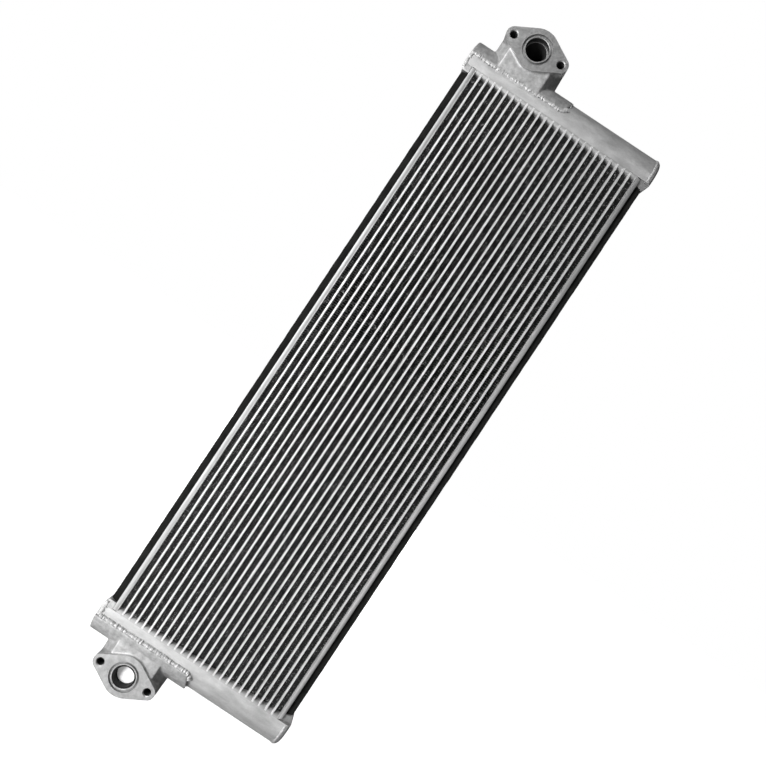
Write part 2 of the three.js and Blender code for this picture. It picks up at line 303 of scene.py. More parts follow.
def smooth(piece, angle=35):
    """Smooth shading, with a sharp edge wherever two faces meet at more than the angle."""
    piece.data.shade_smooth()
    piece.data.set_sharp_from_angle(angle=math.radians(angle))
    return piece


def turned_over(piece, end):
    """The upper end's piece, or its mirror image at the lower end."""
    if end == "lower":
        piece.data.transform(Matrix.Scale(-1, 4, (0, 0, 1)))
        piece.data.flip_normals()
    return piece


def wander(seed, z, size, length):
    """A slow, smooth wander along z."""
    return size * noise.noise(Vector((seed * 7.31, 0.5, z / length)))


def dress(piece, material, body="cooler", nodes=()):
    """Gives the piece its material, its body and the CAD nodes that it stands for."""
    piece.data.materials.clear()
    piece.data.materials.append(material)
    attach(piece, body)
    if nodes:
        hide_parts(*nodes)


# ---------------------------------------------------------------- materials

BLOTCH_SHARE = 0.65  # of an aluminium's colour pattern, beside its grain


def grey(value):
    return (value, value, value)


def start_material(name):
    """A new material, with its node tree, its shader and its object coordinates."""
    material = bpy.data.materials.new(name)
    material.use_nodes = True
    tree = material.node_tree
    shader = tree.nodes["Principled BSDF"]
    place = tree.nodes.new("ShaderNodeTexCoord").outputs["Object"]
    return material, tree, shader, place


def add_noise(tree, place, size, detail, stretch=(1, 1, 1)):
    """Noise whose features are about that size, in metres, stretched along each axis."""
    mapping = tree.nodes.new("ShaderNodeMapping")
    mapping.inputs["Scale"].default_value = [1 / (size * s) for s in stretch]
    tree.links.new(place, mapping.inputs["Vector"])
    texture = tree.nodes.new("ShaderNodeTexNoise")
    texture.inputs["Scale"].default_value = 1
    texture.inputs["Detail"].default_value = detail
    texture.inputs["Roughness"].default_value = 0.6
    tree.links.new(mapping.outputs["Vector"], texture.inputs["Vector"])
    return texture.outputs["Fac"]


def remap(tree, value, low, high, from_low=0.3, from_high=0.7):
    """The value moved to a new range, from the one in which most noise lies."""
    node = tree.nodes.new("ShaderNodeMapRange")
    node.inputs["From Min"].default_value = from_low
    node.inputs["From Max"].default_value = from_high
    node.inputs["To Min"].default_value = low
    node.inputs["To Max"].default_value = high
    tree.links.new(value, node.inputs["Value"])
    return node.outputs["Result"]


def calculate(tree, operation, first, second):
    node = tree.nodes.new("ShaderNodeMath")
    node.operation = operation
    for socket, value in zip(node.inputs, (first, second)):
        if isinstance(value, (int, float)):
            socket.default_value = value
        else:
            tree.links.new(value, socket)
    return node.outputs["Value"]


def tint(tree, value, dark, light):
    """A colour between dark and light."""
    node = tree.nodes.new("ShaderNodeMix")
    node.data_type = "RGBA"
    node.inputs["A"].default_value = (*dark, 1)
    node.inputs["B"].default_value = (*light, 1)
    tree.links.new(value, node.inputs["Factor"])
    return node.outputs["Result"]


def add_bump(tree, shader, height, distance):
    node = tree.nodes.new("ShaderNodeBump")
    node.inputs["Distance"].default_value = distance
    node.inputs["Strength"].default_value = 1.0
    tree.links.new(height, node.inputs["Height"])
    tree.links.new(node.outputs["Normal"], shader.inputs["Normal"])


def aluminium(
    name,
    dark,
    light,
    metallic,
    roughness,
    grain,
    bump,
    blotch=25 * MM,
    stretch=(1, 1, 1),
    specular=0.5,
    contrast=1.0,
    threshold=0.5,
):
    """Aluminium with blotches and a fine grain.

    Dark and light are greys. Grain, bump and blotch are sizes in metres. Contrast sharpens the step from dark
    to light, and threshold says where in the noise it lies.
    """
    material, tree, shader, place = start_material(name)
    blotches = add_noise(tree, place, blotch, detail=6, stretch=stretch)
    grains = add_noise(tree, place, grain, detail=3)
    coarse = calculate(tree, "MULTIPLY", blotches, BLOTCH_SHARE)
    fine = calculate(tree, "MULTIPLY", grains, 1 - BLOTCH_SHARE)
    mixed = calculate(tree, "ADD", coarse, fine)
    spread = 0.2 / contrast
    factor = remap(tree, mixed, 0, 1, threshold - spread, threshold + spread)
    tree.links.new(tint(tree, factor, grey(dark), grey(light)), shader.inputs["Base Color"])
    tree.links.new(remap(tree, grains, roughness - 0.08, roughness + 0.1), shader.inputs["Roughness"])
    shader.inputs["Metallic"].default_value = metallic
    shader.inputs["Specular IOR Level"].default_value = specular
    add_bump(tree, shader, grains, bump)
    return material


def foam_material():
    """Closed-cell black foam: matt, with open pores and a little grey dust."""
    material, tree, shader, place = start_material("black_foam_skin")
    pore = 1.1 * MM
    cells = tree.nodes.new("ShaderNodeTexVoronoi")
    cells.inputs["Scale"].default_value = 1 / pore
    tree.links.new(place, cells.inputs["Vector"])
    dust = remap(tree, add_noise(tree, place, 18 * MM, detail=6), 0, 1)
    colour = tint(tree, dust, dark=(0.004, 0.004, 0.004), light=(0.016, 0.016, 0.015))
    tree.links.new(colour, shader.inputs["Base Color"])
    shader.inputs["Roughness"].default_value = 0.95
    shader.inputs["Specular IOR Level"].default_value = 0.15
    add_bump(tree, shader, cells.outputs["Distance"], 0.35 * MM)
    return material


def polymer(name, dark, light, roughness, specular=0.4):
    """Moulded rubber or plastic with a faint mottle and a slight orange-peel surface."""
    material, tree, shader, place = start_material(name)
    mottle = add_noise(tree, place, 6 * MM, detail=5)
    colour = tint(tree, remap(tree, mottle, 0, 1), grey(dark), grey(light))
    tree.links.new(colour, shader.inputs["Base Color"])
    tree.links.new(remap(tree, mottle, roughness - 0.05, roughness + 0.08), shader.inputs["Roughness"])
    shader.inputs["Specular IOR Level"].default_value = specular
    add_bump(tree, shader, add_noise(tree, place, 0.8 * MM, detail=2), 0.04 * MM)
    return material


TUBE_METAL = aluminium(
    "brazed_tube_edge", dark=0.64, light=0.9, metallic=0.85, roughness=0.58,
    grain=0.9 * MM, bump=0.05 * MM, blotch=6 * MM, stretch=(1, 1, 5))
# Painted shade: the foil is bare aluminium, coloured near black here for the shade deep between the tubes.
FOIL_PAINTED_SHADE = aluminium(
    "fin_foil", dark=0.03, light=0.07, metallic=0.1, roughness=0.6,
    grain=1.2 * MM, bump=0.03 * MM, blotch=9 * MM, specular=0.1)
# Painted shade and glints: the foil's front and back edges are coloured mostly near black for shade, with
# scattered bright specks standing in for glints of light.
FOIL_EDGE_SHADE_AND_GLINTS = aluminium(
    "fin_foil_edge", dark=0.005, light=0.75, metallic=0.5, roughness=0.5,
    grain=1.2 * MM, bump=0.02 * MM, blotch=2.4 * MM, contrast=6, threshold=0.59)
SIDE_METAL = aluminium(
    "side_bar_metal", dark=0.34, light=0.58, metallic=0.9, roughness=0.5,
    grain=0.7 * MM, bump=0.04 * MM, blotch=8 * MM, stretch=(0.5, 1, 9))
SHEET_METAL = aluminium(
    "side_sheet_metal", dark=0.42, light=0.62, metallic=0.85, roughness=0.5,
    grain=0.8 * MM, bump=0.03 * MM)
TANK_METAL = aluminium(
    "tank_metal", dark=0.46, light=0.7, metallic=0.9, roughness=0.66,
    grain=2 * MM, bump=0.12 * MM, blotch=12 * MM, stretch=(2.5, 1, 1), contrast=1.3)
BAR_METAL = aluminium(
    "closing_bar_metal", dark=0.4, light=0.5, metallic=0.85, roughness=0.5,
    grain=0.8 * MM, bump=0.06 * MM, blotch=8 * MM)
CAST_METAL = aluminium(
    "cast_metal", dark=0.36, light=0.6, metallic=0.9, roughness=0.62,
    grain=1.8 * MM, bump=0.16 * MM, blotch=7 * MM, contrast=1.5)
MACHINED_METAL = aluminium(
    "machined_metal", dark=0.39, light=0.58, metallic=0.95, roughness=0.46,
    grain=1.2 * MM, bump=0.05 * MM, blotch=6 * MM, contrast=1.5)
# Painted shade: near-black colour for the insides of the bore, passage and bolt holes, where shade falls.
HOLE_SHADE_METAL = aluminium(
    "painted_hole_shade_metal", dark=0.03, light=0.07, metallic=0.4, roughness=0.35,
    grain=0.8 * MM, bump=0.02 * MM, blotch=8 * MM)
# Painted shade: darker colour for the seal groove's walls and floor, where shade falls.
GROOVE_SHADE_METAL = aluminium(
    "painted_groove_shade_metal", dark=0.18, light=0.42, metallic=0.6, roughness=0.5,
    grain=0.8 * MM, bump=0.03 * MM, blotch=6 * MM)
WELD_METAL = aluminium(
    "weld_metal", dark=0.34, light=0.6, metallic=0.4, roughness=0.5,
    grain=0.9 * MM, bump=0.1 * MM, blotch=2.5 * MM)
FOAM = foam_material()
RUBBER = polymer("black_rubber", dark=0.006, light=0.014, roughness=0.6, specular=0.2)
WHITE_PLASTIC = polymer("white_plastic", dark=0.9, light=0.96, roughness=0.45)


# ---------------------------------------------------------------- core

def flat_tube(number):
    """Two sheets with a bar between their edges, brazed together, not quite straight."""
    low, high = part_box(f"oil_tube_{number:02d}")
    middle = (low.x + high.x) / 2
    half = TUBE_WIDTH / 2
    sheet = half - SHEET_THICKNESS
    edge = [
        (half, SEAM_DEPTH),
        (half - 0.2 * MM, 0),
        (sheet + 0.12 * MM, 0.02 * MM),
        (sheet, SEAM_DEPTH),
        (sheet - 0.15 * MM, 0.12 * MM),
        (0, 0.02 * MM),
    ]
    right_half = [(x, FRONT_Y + inset) for x, inset in edge]
    front = [(-x, y) for x, y in right_half[:-1]] + right_half[::-1]
    outline = front + [(x, -y) for x, y in reversed(front)]
    rings = []
    for i in range(TUBE_STEPS + 1):
        z = low.z + (high.z - low.z) * i / TUBE_STEPS
        shift = middle + wander(number, z, *TUBE_WANDER)
        push = abs(wander(number + 50, z, *TUBE_PUSH))
        rings.append(along_z([(shift + x, y + math.copysign(push, -y)) for x, y in outline], z))
    piece = smooth(loft(f"flat_tube_{number:02d}", rings))
    dress(piece, TUBE_METAL, nodes=[f"oil_tube_{number:02d}"])


def air_foil(number):
    """One row of corrugated foil, folded a little unevenly and nicked here and there at its edges."""
    name = f"air_fin_{number:02d}"
    low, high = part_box(name)
    middle = (low.x + high.x) / 2
    reach = (TUBE_PITCH - TUBE_WIDTH - FOIL_THICKNESS) / 2 - FOIL_CLEARANCE
    chance = random.Random(number)
    folds = round((high.z - low.z) / (FOIL_WAVE / 2))
    step = (high.z - low.z) / folds
    path = []
    for i in range(folds):
        z = low.z + (i + 0.5) * step + chance.uniform(-FOLD_JITTER, FOLD_JITTER)
        side = middle + (reach if i % 2 else -reach)
        half_flat = step * FOIL_FLAT / 2
        path.append(Vector((side, 0, z - half_flat)))
        path.append(Vector((side, 0, z + half_flat)))
    rings = []
    for i, point in enumerate(path):
        along = path[min(i + 1, len(path) - 1)] - path[max(i - 1, 0)]
        across = Vector((along.z, 0, -along.x)).normalized() * (FOIL_THICKNESS / 2)
        front_y = low.y + FOIL_SETBACK + abs(chance.gauss(0, NICK_DEPTH))
        front = Vector((0, front_y, chance.gauss(0, NICK_LEAN)))
        back_y = high.y - FOIL_SETBACK - abs(chance.gauss(0, NICK_DEPTH))
        back = Vector((0, back_y, chance.gauss(0, NICK_LEAN)))
        turn_back = max(0, point.z / high.z) ** FOIL_TURN_BACK
        middle_depth = Vector((0, 0, FOIL_HERRINGBONE * (1 - 2 * turn_back)))
        rings.append([
            point + across + front,
            point + across + middle_depth,
            point + across + back,
            point - across + back,
            point - across + middle_depth,
            point - across + front,
        ])
    piece = loft(f"air_foil_{number:02d}", rings)
    # The foil's flanks take the near-black painted shade.
    dress(piece, FOIL_PAINTED_SHADE, nodes=[name])
    # The foil's front and back faces take the painted shade with painted glints.
    piece.data.materials.append(FOIL_EDGE_SHADE_AND_GLINTS)
    for face in piece.data.polygons:
        faces_front_or_back = abs(face.normal.y) > 0.8
        if faces_front_or_back:
            face.material_index = 1


def rounded_rectangle(x0, y0, x1, y1, radius, steps):
    quarter = math.pi / 2
    corners = [
        (x1 - radius, y1 - radius),
        (x0 + radius, y1 - radius),
        (x0 + radius, y0 + radius),
        (x1 - radius, y0 + radius),
    ]
    outline = []
    for turn, corner in enumerate(corners):
        outline += arc(corner, radius, turn * quarter, (turn + 1) * quarter, steps)
    return outline


def side_plate(side, sign):
    """The core's outermost sheet and the solid bar outside it."""
    node = f"{side}_side_plate"
    low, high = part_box(node)
    inner = low.x if sign > 0 else high.x
    outer = high.x if sign > 0 else low.x
    sheet_outer = inner + sign * SIDE_SHEET
    sheet_low, sheet_high = sorted((inner, sheet_outer))
    sheet = rounded_rectangle(sheet_low, low.y, sheet_high, high.y, radius=0.3 * MM, steps=2)
    bar_low, bar_high = sorted((sheet_outer, outer))
    setback = 0.5 * MM
    bar = rounded_rectangle(bar_low, low.y + setback, bar_high, high.y - setback, radius=0.8 * MM, steps=3)
    bar_width = abs(outer - sheet_outer)
    for part, outline, metal, seed in (("sheet", sheet, SHEET_METAL, 3), ("bar", bar, SIDE_METAL, 9)):
        rings = []
        for i in range(SIDE_STEPS + 1):
            z = low.z + (high.z - low.z) * i / SIDE_STEPS
            push = abs(wander(seed * sign, z, *SIDE_PUSH))
            ring = along_z([(x, y + math.copysign(push, -y)) for x, y in outline], z)
            if part == "bar" and i in (0, SIDE_STEPS):
                for point in ring:
                    share = abs(point.x - sheet_outer) / bar_width
                    point.z -= math.copysign(SIDE_TOP_SLOPE[side] * share, z)
            rings.append(ring)
        piece = smooth(loft(f"{side}_side_{part}", rings))
        dress(piece, metal, nodes=[node])


def foam_strip(side, sign):
    """Glued foam strip, uneven to the touch, cut at a slant at its ends."""
    node = f"{side}_side_seal"
    low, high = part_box(node)
    front = low.y + FOAM_RECESS[side]
    outline = rounded_rectangle(low.x, front, high.x, high.y, radius=1.2 * MM, steps=3)
    inner = low.x if sign > 0 else high.x
    width = high.x - low.x
    rings = []
    for i in range(FOAM_STEPS + 1):
        z = low.z + (high.z - low.z) * i / FOAM_STEPS
        ring = []
        for x, y in outline:
            depth = abs(x - inner) / width
            spot = Vector((x, y, z))
            dent = sum(deep * noise.noise(spot / wide) for deep, wide in FOAM_DENTS)
            dented_x = x - sign * depth * (FOAM_INSET + dent)
            dented_y = y - math.copysign(FOAM_EDGE_INSET + dent, y)
            point = Vector((dented_x, dented_y, z))
            if i in (0, FOAM_STEPS):
                point.z -= math.copysign(depth * FOAM_END_SLANT, z)
            ring.append(point)
        rings.append(ring)
    piece = smooth(loft(f"{side}_foam_strip", rings), 50)
    dress(piece, FOAM, nodes=[node])


# ---------------------------------------------------------------- tanks

def d_outline(inset, foot, steps=64):
    """The tank's D outline in Y and Z, from its front foot over the top to its back foot."""
    radius = TANK_RADIUS - inset
    return [(-radius, foot)] + arc((0, TANK_AXIS_Z), radius, math.pi, 0, steps) + [(radius, foot)]


def tank_shell(end):
    """D-section shell whose foot edges are broken a little."""
    edge = 0.2 * MM
    outer = d_outline(0, CORE_TOP + edge)
    inner = d_outline(TANK_WALL, CORE_TOP)
    front_lip = [(-TANK_RADIUS + edge, CORE_TOP)]
    back_lip = [(TANK_RADIUS - edge, CORE_TOP)]
    outline = front_lip + outer + back_lip + inner[::-1]
    steps = 12
    length = TANK_HIGH.x - TANK_LOW.x
    rings = [along_x(outline, TANK_LOW.x + length * i / steps) for i in range(steps + 1)]
    piece = smooth(turned_over(loft(f"{end}_tank_shell", rings), end))
    dress(piece, TANK_METAL, nodes=[f"{end}_tank"])


def closing_bars(end):
    """Bars brazed between the tubes' ends, level with the tank at the top and leaning back below."""
    top = CORE_TOP + 1 * MM
    foot = FIN_TOP + 0.3 * MM
    front = [(FRONT_Y + 0.05 * MM, top)]
    for angle in quarter_turn():
        y = FRONT_Y + CLOSURE_SLOPE_BACK * (1 - math.cos(angle))
        front.append((y, CORE_TOP - (CORE_TOP - foot) * math.sin(angle)))
    outline = front + [(-y, z) for y, z in reversed(front)]
    half = (TUBE_PITCH - TUBE_WIDTH) / 2 + 0.1 * MM
    bars = []
    for number in range(FIN_COUNT):
        middle = (number - (FIN_COUNT - 1) / 2) * TUBE_PITCH
        bars.append(loft("bar", [along_x(outline, middle - half), along_x(outline, middle + half)]))
    piece = bars[0]
    piece.name = f"{end}_closing_bars"
    with bpy.context.temp_override(active_object=piece, selected_editable_objects=bars):
        bpy.ops.object.join()
    smooth(turned_over(piece, end), 30)
    dress(piece, BAR_METAL, nodes=[f"{end}_tank"])


def end_foot(sign, outer_x):
    """Foot of an end wall, in under the tank and down to the foam."""
    gap, rise, lean_back, setback = END_FOOT[sign]
    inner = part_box("right_side_plate")[1].x + gap
    under = CORE_TOP + rise
    tip = SEAL_TOP - 0.1 * MM
    top = CORE_TOP + 3 * MM
    outline = [
        (inner, tip),
        (CAP_OUTER_X - FOOT_TAPER, tip),
        (CAP_OUTER_X - FOOT_INSET, CORE_TOP - 1 * MM),
        (CAP_OUTER_X - FOOT_INSET, top),
        (TANK_END_X, top),
        (TANK_END_X, under),
        (inner, under),
    ]
    outline = [(min(x, outer_x), z) for x, z in outline]
    lean = lean_back / (CAP_OUTER_X - inner)
    rings = []
    for y in (FRONT_Y + setback, BACK_Y - setback):
        rings.append([Vector((sign * x, y - math.copysign(lean * (x - inner), y), z)) for x, z in outline])
    return loft("foot", rings)


def end_wall(sign, outer_x, overlap=0.0):
    """D-shaped end wall: the right-hand one bulges outwards and the left-hand one is nearly flat.

    With an overlap it reaches into the castings beside it, to be joined to them.
    """
    bulge, inset = WALL_ROUNDING[sign]
    levels = [(TANK_END_X + 0.1 * MM - overlap, -overlap)]
    for angle in quarter_turn():
        levels.append((outer_x - bulge * (1 - math.sin(angle)), inset * (1 - math.cos(angle)) - overlap))
    return loft("wall", [along_x(d_outline(inset, CORE_TOP - 0.1 * MM), sign * x) for x, inset in levels])


def end_cap(end):
    """The right-hand end plate with its foot."""
    piece = combine(end_wall(1, CAP_OUTER_X), [end_foot(1, CAP_OUTER_X)], "UNION")
    piece.name = f"{end}_end_plate"
    smooth(turned_over(piece, end), 30)
    dress(piece, TANK_METAL, nodes=[f"{end}_end_cap"])


# ---------------------------------------------------------------- port castings

def flange_outline(port_x, inset):
    """Round hub and two bolt lobes, joined by tangents."""
    steps = 28
    hub = HUB_RADIUS - inset
    lobe = LOBE_RADIUS - inset
    tangent = math.acos((hub - lobe) / BOLT_OFFSET)
    right = (port_x + BOLT_OFFSET, PORT_Z)
    left = (port_x - BOLT_OFFSET, PORT_Z)
    centre = (port_x, PORT_Z)
    return (
        arc(right, lobe, -tangent, tangent, steps)
        + arc(centre, hub, tangent, math.pi - tangent, steps)
        + arc(left, lobe, math.pi - tangent, math.pi + tangent, steps)
        + arc(centre, hub, math.pi + tangent, 2 * math.pi - tangent, steps)
    )


def saddle_radius(end):
    return TANK_RADIUS + 0.3 * MM + SADDLE_THICKNESS[end]


def cast_saddle(end):
    """The casting's foot, wrapped round the tank, with its right-hand corners rounded."""
    inner = TANK_RADIUS + SADDLE_GAP
    outer = saddle_radius(end)
    start = math.asin(SADDLE_FOOT / outer)
    axis = (0, TANK_AXIS_Z)
    section = arc(axis, outer, start, math.pi - start, 60) + arc(axis, inner, math.pi - start, start, 60)
    left_x = 0.4 * MM - CAP_OUTER_X + LEFT_WALL_SETBACK[end]
    band = loft("band", [along_x(section, left_x), along_x(section, SADDLE_RIGHT_X)])
    corner = SADDLE_RIGHT_X - SADDLE_CORNER
    plan = [(-CAP_OUTER_X - 5 * MM, outer + 1 * MM), (-CAP_OUTER_X - 5 * MM, -outer - 1 * MM)]
    plan += arc((corner, SADDLE_CORNER - outer), SADDLE_CORNER, -math.pi / 2, 0, 12)
    plan += arc((corner, outer - SADDLE_CORNER), SADDLE_CORNER, 0, math.pi / 2, 12)
    cutter = loft("plan", [along_z(plan, TANK_AXIS_Z - 20 * MM), along_z(plan, TANK_AXIS_Z + 80 * MM)])
    return combine(band, [cutter], "INTERSECT")


def cast_neck(port_x):
    """Block under the flange, narrow at the front with cheeks that slope out to the flange's width."""
    front = FACE_Y + NECK_SETBACK
    cheek = FACE_Y + FLANGE_THICKNESS
    right = [(NECK_HALF_WIDTH, front), (BLOCK_HALF_WIDTH, cheek), (BLOCK_HALF_WIDTH, BLOCK_BACK_Y)]
    plan = [(port_x + x, y) for x, y in right] + [(port_x - x, y) for x, y in reversed(right)]
    return loft("neck", [along_z(plan, TANK_AXIS_Z), along_z(plan, PORT_Z)])


def tank_space():
    """Room for the tank inside the casting."""
    outline = d_outline(-SADDLE_GAP, CORE_TOP - 0.05 * MM, steps=96)
    return loft("space", [along_x(outline, -TANK_END_X - 0.05 * MM), along_x(outline, TANK_END_X)])


def round_off(piece):
    """Rounds every edge and fills every inner corner a little, as sand casting does."""
    remesh = piece.modifiers.new("remesh", "REMESH")
    remesh.mode = "VOXEL"
    remesh.voxel_size = CAST_VOXEL
    relax = piece.modifiers.new("relax", "SMOOTH")
    relax.factor = 0.6
    relax.iterations = 3
    return apply_modifiers(piece)


def port_cutters(port_x):
    """Everything that is machined into the casting: face, bore, seal groove and bolt holes."""
    big = 300 * MM
    square = [(-big, PORT_Z - big), (big, PORT_Z - big), (big, PORT_Z + big), (-big, PORT_Z + big)]
    face = loft("face", [along_y(square, y) for y in (FACE_Y - 20 * MM, FACE_Y)])
    chamfer = 0.5 * MM
    bore = turned("bore", x=port_x, profile=[
        (BORE_RADIUS + chamfer, FACE_Y - CUTTER_REACH),
        (BORE_RADIUS + chamfer, FACE_Y),
        (BORE_RADIUS, FACE_Y + chamfer),
        (BORE_RADIUS, FACE_Y + BORE_STEP),
        (PASSAGE_RADIUS, FACE_Y + BORE_STEP),
        (PASSAGE_RADIUS, PASSAGE_RADIUS * 0.7),
        (PASSAGE_RADIUS * 0.7, PASSAGE_RADIUS),
    ])
    groove = turned("groove", x=port_x, profile=[
        (GROOVE_INNER, FACE_Y - CUTTER_REACH),
        (GROOVE_OUTER, FACE_Y - CUTTER_REACH),
        (GROOVE_OUTER, FACE_Y + GROOVE_DEPTH),
        (GROOVE_INNER, FACE_Y + GROOVE_DEPTH),
    ], closed=True)
    holes = []
    for sign in (-1, 1):
        hole = turned("bolt_hole", x=port_x + sign * BOLT_OFFSET, profile=[
            (BOLT_RADIUS + BOLT_CHAMFER, FACE_Y - CUTTER_REACH),
            (BOLT_RADIUS + BOLT_CHAMFER, FACE_Y),
            (BOLT_RADIUS, FACE_Y + BOLT_CHAMFER),
            (BOLT_RADIUS, FACE_Y + BOLT_DEPTH),
            (0.4 * MM, FACE_Y + BOLT_DEPTH + 3 * MM),
        ], steps=48)
        holes.append(hole)
    circle = arc((port_x, 0), PASSAGE_RADIUS, 0, 2 * math.pi, 64)[:-1]
    passage = loft("passage", [along_z(circle, z) for z in (TANK_AXIS_Z + 10 * MM, PORT_Z)])
    return [face, groove, *holes, combine(bore, [passage], "UNION")]


def port_casting(end):
    """Flange, neck, saddle and end wall in one sand casting, machined at the port."""
    port_x = PORT_X[end]
    rim = flange_outline(port_x, 0)
    flange = loft("flange", [along_y(rim, FACE_Y - MACHINING_STOCK), along_y(rim, FACE_Y + FLANGE_THICKNESS)])
    core = flange_outline(port_x, 1.5 * MM)
    hub = loft("hub", [along_y(core, FACE_Y + 1 * MM), along_y(core, BLOCK_BACK_Y)])
    piece = combine(flange, [hub, cast_neck(port_x)], "UNION")
    combine(piece, [tank_space()], "DIFFERENCE")
    outer_x = CAP_OUTER_X - LEFT_WALL_SETBACK[end]
    wall = end_wall(-1, outer_x, overlap=0.6 * MM)
    combine(piece, [cast_saddle(end), wall, end_foot(-1, outer_x)], "UNION")
    round_off(piece)
    combine(piece, [tank_space()], "DIFFERENCE")
    combine(piece, port_cutters(port_x), "DIFFERENCE")
    return piece


def casting_finish(spot, port_x):
    """The finish at a spot of the casting: its bore, passage and bolt holes take a near-black painted shade,
    and its seal groove a darker painted shade.
    """
    from_axis = math.hypot(spot.x - port_x, spot.z - PORT_Z)
    from_bolt = min(math.hypot(spot.x - port_x - s * BOLT_OFFSET, spot.z - PORT_Z) for s in (-1, 1))
    in_bore = from_axis < BORE_RADIUS + MARGIN and spot.y < BLOCK_BACK_Y - 8 * MM
    in_passage = math.hypot(spot.x - port_x, spot.y) < PASSAGE_RADIUS + MARGIN and spot.z < PORT_Z
    at_step = abs(spot.y - FACE_Y - BORE_STEP) < MARGIN
    if in_bore and at_step and from_axis > PASSAGE_RADIUS - MARGIN:
        return MACHINED
    # Painted shade: the bore beyond its first millimetre and the passage take the near-black colour.
    if (in_bore and spot.y > FACE_Y + 1 * MM) or in_passage:
        return PAINTED_HOLE_SHADE
    if spot.y > FACE_Y + BOLT_DEPTH + 4 * MM:
        return AS_CAST
    # Painted shade: so do the bolt holes beyond their chamfers.
    if from_bolt < BOLT_RADIUS + MARGIN and spot.y > FACE_Y + BOLT_CHAMFER + 1 * MM:
        return PAINTED_HOLE_SHADE
    on_face = spot.y < FACE_Y + MARGIN / 2
    at_groove = GROOVE_INNER - 2 * MARGIN < from_axis < GROOVE_OUTER + 2 * MARGIN
    # Painted shade in the seal groove: its walls and floor take the darker colour.
    if at_groove and not on_face and spot.y < FACE_Y + GROOVE_DEPTH + 2 * MARGIN:
        return PAINTED_GROOVE_SHADE
    in_lip = from_axis < GROOVE_OUTER and spot.y < FACE_Y + 2 * MM
    if on_face or in_lip or from_bolt < BOLT_RADIUS + BOLT_CHAMFER + MARGIN:
        return MACHINED
    return AS_CAST


def port_block(end):
    """The machined casting, with a material for each finish."""
    piece = port_casting(end)
    piece.name = f"{end}_port_casting"
    finishes = [casting_finish(face.center, PORT_X[end]) for face in piece.data.polygons]
    smooth(turned_over(piece, end), 32)
    dress(piece, CAST_METAL, nodes=[f"{end}_port_block"])
    # After the cast metal come the machined metal, then the painted shade for the holes, then the painted
    # shade for the groove.
    for metal in (MACHINED_METAL, HOLE_SHADE_METAL, GROOVE_SHADE_METAL):  # in the order of the finishes' numbers
        piece.data.materials.append(metal)
    piece.data.polygons.foreach_set("material_index", finishes)


# ---------------------------------------------------------------- welds

def weld_bead(name, path, radius, seed, end, lumps=0.22, height=0.8):
    """A bead laid along a path, in overlapping uneven ripples. Lumps and height are shares of its radius."""
    chance = random.Random(seed)
    lengths = [(b - a).length for a, b in zip(path, path[1:])]
    total = sum(lengths)
    count = max(8, round(total / (RIPPLE_LENGTH / 3)))
    spots = [path_point(path, lengths, total * i / count) for i in range(count + 1)]
    rings = []
    swell = 1.0
    drift = Vector((0, 0, 0))
    for i, spot in enumerate(spots):
        ahead = (spots[min(i + 1, count)] - spots[max(i - 1, 0)]).normalized()
        outwards = Vector((0, spot.y, spot.z - TANK_AXIS_Z))
        outwards = (outwards - ahead * outwards.dot(ahead)).normalized()
        sideways = ahead.cross(outwards)
        if i % 3 == 0:
            swell = 1 + chance.uniform(-lumps, lumps)
            drift = Vector([chance.gauss(0, 0.3 * lumps) for _ in range(3)]) * radius
        size = radius * swell * RIPPLE_SIZES[i % 3]
        if i in (0, count):
            size *= BEAD_END
        ring = []
        for k in range(BEAD_SIDES):
            angle = 2 * math.pi * k / BEAD_SIDES
            ray = outwards * (height * math.cos(angle)) + sideways * math.sin(angle)
            place = spot + drift + ray * size
            ring.append(place + ray * radius * lumps * noise.noise(place / BEAD_GRAIN))
        rings.append(ring)
    piece = smooth(turned_over(loft(f"{end}_{name}", rings), end), 60)
    dress(piece, WELD_METAL)


def path_point(path, lengths, distance):
    """The point at that distance along the path."""
    for start, stop, length in zip(path, path[1:], lengths):
        if distance <= length:
            return start.lerp(stop, distance / length)
        distance -= length
    return path[-1].copy()


def saddle_welds(end, seed):
    """Beads along the saddle's front and back edges and round its right-hand end."""
    outer = saddle_radius(end)
    rise, lift, radius, height, lumps = SADDLE_BEAD[end]
    low = math.asin((SADDLE_FOOT + rise) / outer)
    lift += TANK_RADIUS
    corner = SADDLE_RIGHT_X - SADDLE_CORNER
    for side, sign in (("front", -1), ("back", 1)):
        path = [(-CAP_OUTER_X + 4 * MM, low), (corner, low)]
        for x, depth in arc((corner, 0), SADDLE_CORNER, -math.pi / 2, -math.pi / 8, 6)[1:]:
            path.append((x, low + (depth + SADDLE_CORNER) / TANK_RADIUS))
        points = [Vector((x, sign * lift * math.cos(a), TANK_AXIS_Z + lift * math.sin(a))) for x, a in path]
        weld_bead(f"saddle_{side}_weld", points, radius, seed, end, lumps=lumps, height=height)
        seed += 1
    low += ARCH_CLEARANCE
    arch = arc((0, TANK_AXIS_Z), lift, low, math.pi - low, 24)
    points = [Vector((SADDLE_RIGHT_X + 0.3 * MM, y, z)) for y, z in arch]
    weld_bead("saddle_end_weld", points, 1.3 * MM, seed, end, lumps=0.3, height=0.5)


def wall_welds(end, seed):
    """Short rough beads at the left end wall's front and back corner, below the saddle."""
    for side, y in (("front", FRONT_Y + 0.6 * MM), ("back", BACK_Y - 0.6 * MM)):
        path = [Vector((-TANK_END_X - 1 * MM, y, z)) for z in (SEAL_TOP + 4 * MM, TANK_AXIS_Z + SADDLE_FOOT)]
        weld_bead(f"left_wall_{side}_weld", path, WALL_BEAD_RADIUS[end], seed, end, lumps=0.45, height=0.55)
        seed += 1


